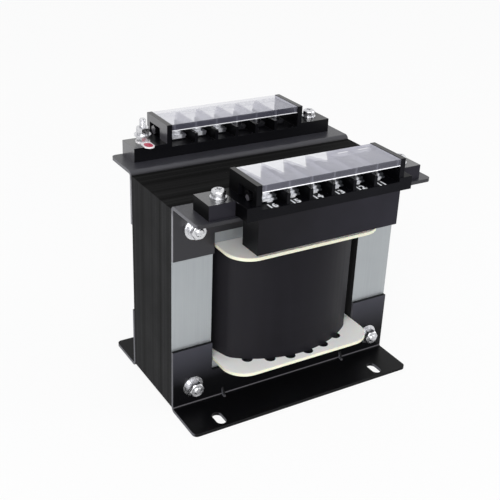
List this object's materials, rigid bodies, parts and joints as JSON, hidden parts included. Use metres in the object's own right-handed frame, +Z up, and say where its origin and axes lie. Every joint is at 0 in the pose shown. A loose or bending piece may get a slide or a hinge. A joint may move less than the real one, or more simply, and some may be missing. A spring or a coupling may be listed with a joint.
{
  "type": "laminated chassis transformer",
  "caption": "Control transformer with a laminated core, one coil on a cream bobbin, sheet feet and shelves, and screw terminal blocks under clear covers.",
  "frame": {"origin": "on the floor under the middle of the core, which is also the middle of the whole part's footprint to about 1 mm", "axes": "+X to the right along the front, +Y from the front terminal block to the rear one, +Z up"},
  "size_m": [0.15, 0.1294, 0.1522],
  "materials": {
    "lamination": "varnished sheet edges, bare faces",
    "bobbin_plastic": "moulded cream plastic",
    "enamelled_copper": "enamelled copper wire",
    "insulation_film": "film wrap",
    "coil_wrap": "satin black wrap",
    "black_sheet": "satin black paint",
    "zinc_steel": "bright zinc plate",
    "black_moulding": "moulded black plastic",
    "clear_plastic": "clear moulded plastic",
    "plated_brass": "tin plate",
    "lead_sleeve": "fibre sleeve",
    "earth_tag": "white with a red oval"
  },
  "bodies": {
    "root": {"core_e_laminations": "lamination", "core_i_laminations": "lamination", "bobbin": "bobbin_plastic", "primary_winding": "enamelled_copper", "secondary_winding": "enamelled_copper", "interwinding_insulation": "insulation_film", "outer_wrap": "coil_wrap", "front_foot_bracket": "black_sheet", "rear_foot_bracket": "black_sheet", "front_top_bracket": "black_sheet", "rear_top_bracket": "black_sheet", "core_bolts": "zinc_steel", "core_nuts": "zinc_steel", "core_spring_washers": "zinc_steel", "front_core_washers": "zinc_steel", "rear_core_washers": "zinc_steel", "front_terminal_base": "black_moulding", "rear_terminal_base": "black_moulding", "front_lead_skirt": "black_moulding", "rear_lead_skirt": "black_moulding", "front_terminal_cover": "clear_plastic", "rear_terminal_cover": "clear_plastic", "front_terminal_bars": "plated_brass", "rear_terminal_bars": "plated_brass", "front_clamp_plates": "zinc_steel", "rear_clamp_plates": "zinc_steel", "front_terminal_screws": "zinc_steel", "rear_terminal_screws": "zinc_steel", "front_leads": "lead_sleeve", "rear_leads": "lead_sleeve", "block_screws": "zinc_steel", "block_spring_washers": "zinc_steel", "block_washers": "zinc_steel", "block_nuts": "zinc_steel", "earth_stud": "zinc_steel", "earth_lower_nut": "zinc_steel", "earth_washer": "zinc_steel", "earth_spring_washer": "zinc_steel", "earth_upper_nut": "zinc_steel", "earth_tag": "earth_tag"}
  },
  "joints": []
}
